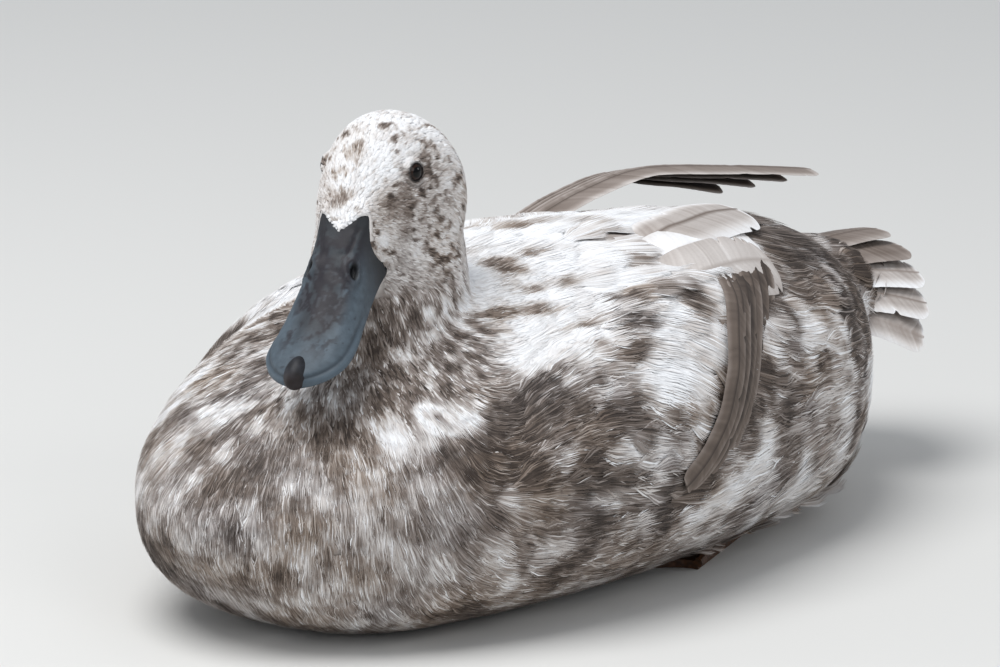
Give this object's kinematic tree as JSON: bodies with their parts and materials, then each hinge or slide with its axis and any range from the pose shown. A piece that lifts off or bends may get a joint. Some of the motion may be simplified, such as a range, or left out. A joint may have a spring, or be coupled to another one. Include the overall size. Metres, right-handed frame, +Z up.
{
  "type": "resting domestic duck model",
  "caption": "Still, life-size model of a mottled domestic duck at rest on its belly, neck drawn in, head turned a little to its left.",
  "frame": {"origin": "on the floor, under the middle of the duck's box", "axes": "-Y towards the breast, +Y towards the tail, +X to the duck's left, +Z up"},
  "size_m": [0.1966, 0.3934, 0.1768],
  "materials": {
    "plumage": "matte, white mottled with brown-grey",
    "flight_feathers": "satin, grey-brown vanes with pale edges",
    "tail_feathers": "satin, whitish grey vanes",
    "bill": "satin slate-blue skin, mottled dark",
    "bill_nail": "satin dark horn",
    "eye": "wet gloss, very dark brown",
    "foot_skin": "satin scaled skin, dull orange-brown"
  },
  "bodies": {
    "root": {"trunk": "plumage", "neck": "plumage", "head": "plumage", "eye_left": "eye", "eye_right": "eye", "bill_upper": "bill", "bill_lower": "bill", "bill_nail": "bill_nail", "wing_left": "plumage", "wing_left_flight": "flight_feathers", "wing_left_tertials": "plumage", "wing_right": "plumage", "wing_right_flight": "flight_feathers", "wing_right_primaries": "flight_feathers", "tail": "plumage", "tail_feathers": "tail_feathers", "leg_left": "foot_skin", "leg_right": "foot_skin", "foot_left": "foot_skin", "foot_right": "foot_skin"}
  },
  "joints": []
}
